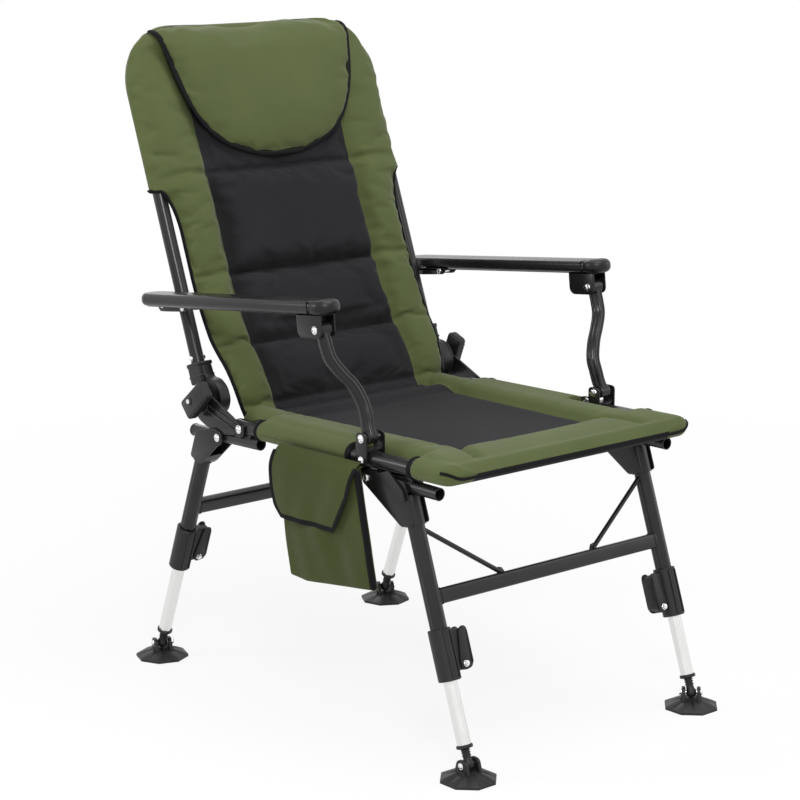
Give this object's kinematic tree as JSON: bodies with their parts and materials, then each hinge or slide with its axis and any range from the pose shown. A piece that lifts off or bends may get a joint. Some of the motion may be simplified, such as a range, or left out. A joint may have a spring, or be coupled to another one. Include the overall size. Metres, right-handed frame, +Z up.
{
  "type": "folding fishing chair",
  "caption": "Folding fishing chair with a padded reclining back, linked armrests, folding leg frames, telescopic legs and tilting mud feet.",
  "frame": {"origin": "on the ground, in the middle of the box that holds the chair", "axes": "+Z up, +X across the chair to the left of a person sitting in it, -Y the way the chair faces"},
  "size_m": [0.654, 0.9518, 1.1232],
  "materials": {
    "black_paint": "satin black powder coat",
    "black_plastic": "moulded black plastic",
    "soft_plastic": "soft black armrest plastic",
    "bright_steel": "bright plated bolts",
    "bright_aluminium": "drawn bright tube",
    "green_fabric": "woven olive green polyester, padded",
    "bag_fabric": "thin woven olive polyester",
    "black_fabric": "woven black polyester"
  },
  "bodies": {
    "seat_frame": {"seat_frame_tube": "black_paint", "seat_cushion": "green_fabric", "side_bag": "bag_fabric", "crease_fabric": "black_fabric", "arm_bracket_left": "black_paint", "arm_bracket_right": "black_paint", "arm_pivot_bolt_left": "bright_steel", "arm_pivot_bolt_right": "bright_steel", "lower_tube_front_left": "black_paint", "lower_tube_front_right": "black_paint", "lower_tube_rear_left": "black_paint", "lower_tube_rear_right": "black_paint", "leg_pivot_bolt_front_left": "bright_steel", "leg_pivot_bolt_front_right": "bright_steel", "leg_pivot_bolt_rear_left": "bright_steel", "leg_pivot_bolt_rear_right": "bright_steel", "recline_bracket_left": "black_paint", "recline_bracket_right": "black_paint"},
    "front_legs": {"front_crossbar": "black_paint", "front_leg_left": "black_paint", "front_leg_right": "black_paint", "leg_clamp_front_left": "black_plastic", "leg_clamp_front_right": "black_plastic", "brace_rod_left": "black_paint", "brace_rod_right": "black_paint", "leg_clip_left": "black_plastic", "leg_clip_right": "black_plastic"},
    "rear_legs": {"rear_crossbar": "black_paint", "rear_leg_left": "black_paint", "rear_leg_right": "black_paint", "leg_clamp_rear_left": "black_plastic", "leg_clamp_rear_right": "black_plastic"},
    "backrest": {"back_frame_tube": "black_paint", "back_cushion": "green_fabric", "headrest_pillow": "green_fabric", "recline_socket_left": "black_plastic", "recline_socket_right": "black_plastic", "armrest_rear_bolt_left": "bright_steel", "armrest_rear_bolt_right": "bright_steel"},
    "armrest_left": {"armrest_left": "soft_plastic", "armrest_front_bolt_left": "bright_steel"},
    "arm_support_left": {"arm_support_left": "black_paint"},
    "knob_left": {"recline_knob_left": "black_plastic"},
    "lever_front_left": {"clamp_lever_front_left": "black_plastic"},
    "slider_front_left": {"inner_tube_front_left": "bright_aluminium"},
    "foot_front_left": {"mud_foot_front_left": "black_plastic"},
    "lever_rear_left": {"clamp_lever_rear_left": "black_plastic"},
    "slider_rear_left": {"inner_tube_rear_left": "bright_aluminium"},
    "foot_rear_left": {"mud_foot_rear_left": "black_plastic"},
    "armrest_right": {"armrest_right": "soft_plastic", "armrest_front_bolt_right": "bright_steel"},
    "arm_support_right": {"arm_support_right": "black_paint"},
    "knob_right": {"recline_knob_right": "black_plastic"},
    "lever_front_right": {"clamp_lever_front_right": "black_plastic"},
    "slider_front_right": {"inner_tube_front_right": "bright_aluminium"},
    "foot_front_right": {"mud_foot_front_right": "black_plastic"},
    "lever_rear_right": {"clamp_lever_rear_right": "black_plastic"},
    "slider_rear_right": {"inner_tube_rear_right": "bright_aluminium"},
    "foot_rear_right": {"mud_foot_rear_right": "black_plastic"},
    "bag_flap": {"bag_flap": "bag_fabric"}
  },
  "joints": [
    {"name": "recline", "type": "hinge", "parent": "seat_frame", "child": "backrest", "pos_m": [0, 0.22681, 0.5], "axis": [1, 0, 0], "range_deg": [-35, 88], "deforming": ["crease_fabric"]},
    {"name": "armrest_left", "type": "hinge", "parent": "backrest", "child": "armrest_left", "pos_m": [0, 0.29437, 0.65957], "axis": [1, 0, 0], "range_deg": [-88, 35]},
    {"name": "arm_support_left", "type": "hinge", "parent": "seat_frame", "child": "arm_support_left", "pos_m": [0, -0.20079, 0.508], "axis": [1, 0, 0], "range_deg": [-34, 85]},
    {"name": "armrest_right", "type": "hinge", "parent": "backrest", "child": "armrest_right", "pos_m": [0, 0.29437, 0.65957], "axis": [1, 0, 0], "range_deg": [-88, 35]},
    {"name": "arm_support_right", "type": "hinge", "parent": "seat_frame", "child": "arm_support_right", "pos_m": [0, -0.20079, 0.508], "axis": [1, 0, 0], "range_deg": [-34, 85]},
    {"name": "front_legs_fold", "type": "hinge", "parent": "seat_frame", "child": "front_legs", "pos_m": [0, -0.20479, 0.445], "axis": [1, 0, 0], "range_deg": [0, 95]},
    {"name": "rear_legs_fold", "type": "hinge", "parent": "seat_frame", "child": "rear_legs", "pos_m": [0, 0.17721, 0.442], "axis": [1, 0, 0], "range_deg": [-98, 0]},
    {"name": "leg_length_front_left", "type": "slide", "parent": "front_legs", "child": "slider_front_left", "axis": [0, 0.3279, 0.9447], "range_m": [0, 0.085]},
    {"name": "foot_tilt_front_left", "type": "hinge", "parent": "slider_front_left", "child": "foot_front_left", "pos_m": [-0.255, -0.42885, 0.026], "axis": [1, 0, 0], "range_deg": [-20, 20]},
    {"name": "lever_front_left", "type": "hinge", "parent": "front_legs", "child": "lever_front_left", "pos_m": [-0.225, -0.37892, 0.16989], "axis": [0, 0.9447, -0.3279], "range_deg": [0, 105]},
    {"name": "leg_length_front_right", "type": "slide", "parent": "front_legs", "child": "slider_front_right", "axis": [0, 0.3279, 0.9447], "range_m": [0, 0.085]},
    {"name": "foot_tilt_front_right", "type": "hinge", "parent": "slider_front_right", "child": "foot_front_right", "pos_m": [0.255, -0.42885, 0.026], "axis": [0.7071, -0.7071, 0], "range_deg": [-20, 20]},
    {"name": "lever_front_right", "type": "hinge", "parent": "front_legs", "child": "lever_front_right", "pos_m": [0.225, -0.37892, 0.16989], "axis": [0, -0.9447, 0.3279], "range_deg": [0, 105]},
    {"name": "leg_length_rear_left", "type": "slide", "parent": "rear_legs", "child": "slider_rear_left", "axis": [0, -0.3469, 0.9379], "range_m": [0, 0.085]},
    {"name": "foot_tilt_rear_left", "type": "hinge", "parent": "slider_rear_left", "child": "foot_rear_left", "pos_m": [-0.264, 0.37662, 0.026], "axis": [0.9397, -0.342, 0], "range_deg": [-20, 20]},
    {"name": "lever_rear_left", "type": "hinge", "parent": "rear_legs", "child": "lever_rear_left", "pos_m": [-0.234, 0.31198, 0.20077], "axis": [0, 0.9379, 0.3469], "range_deg": [0, 105]},
    {"name": "leg_length_rear_right", "type": "slide", "parent": "rear_legs", "child": "slider_rear_right", "axis": [0, -0.3469, 0.9379], "range_m": [0, 0.085]},
    {"name": "foot_tilt_rear_right", "type": "hinge", "parent": "slider_rear_right", "child": "foot_rear_right", "pos_m": [0.264, 0.37662, 0.026], "axis": [0.866, -0.5, 0], "range_deg": [-20, 20]},
    {"name": "lever_rear_right", "type": "hinge", "parent": "rear_legs", "child": "lever_rear_right", "pos_m": [0.234, 0.31198, 0.20077], "axis": [0, -0.9379, -0.3469], "range_deg": [0, 105]},
    {"name": "knob_left", "type": "hinge", "parent": "seat_frame", "child": "knob_left", "pos_m": [0, 0.22681, 0.5], "axis": [1, 0, 0], "range_deg": [-30, 150]},
    {"name": "knob_right", "type": "hinge", "parent": "seat_frame", "child": "knob_right", "pos_m": [0, 0.22681, 0.5], "axis": [1, 0, 0], "range_deg": [-30, 150]},
    {"name": "bag_flap_lift", "type": "hinge", "parent": "seat_frame", "child": "bag_flap", "pos_m": [-0.30325, -0.11979, 0.46508], "axis": [0, 1, 0], "range_deg": [0, 110]}
  ],
  "couplings": [
    {"joint": "armrest_left", "follows": "recline", "ratio": -0.9944},
    {"joint": "arm_support_left", "follows": "recline", "ratio": 0.9612},
    {"joint": "armrest_right", "follows": "recline", "ratio": -0.9944},
    {"joint": "arm_support_right", "follows": "recline", "ratio": 0.9612}
  ]
}
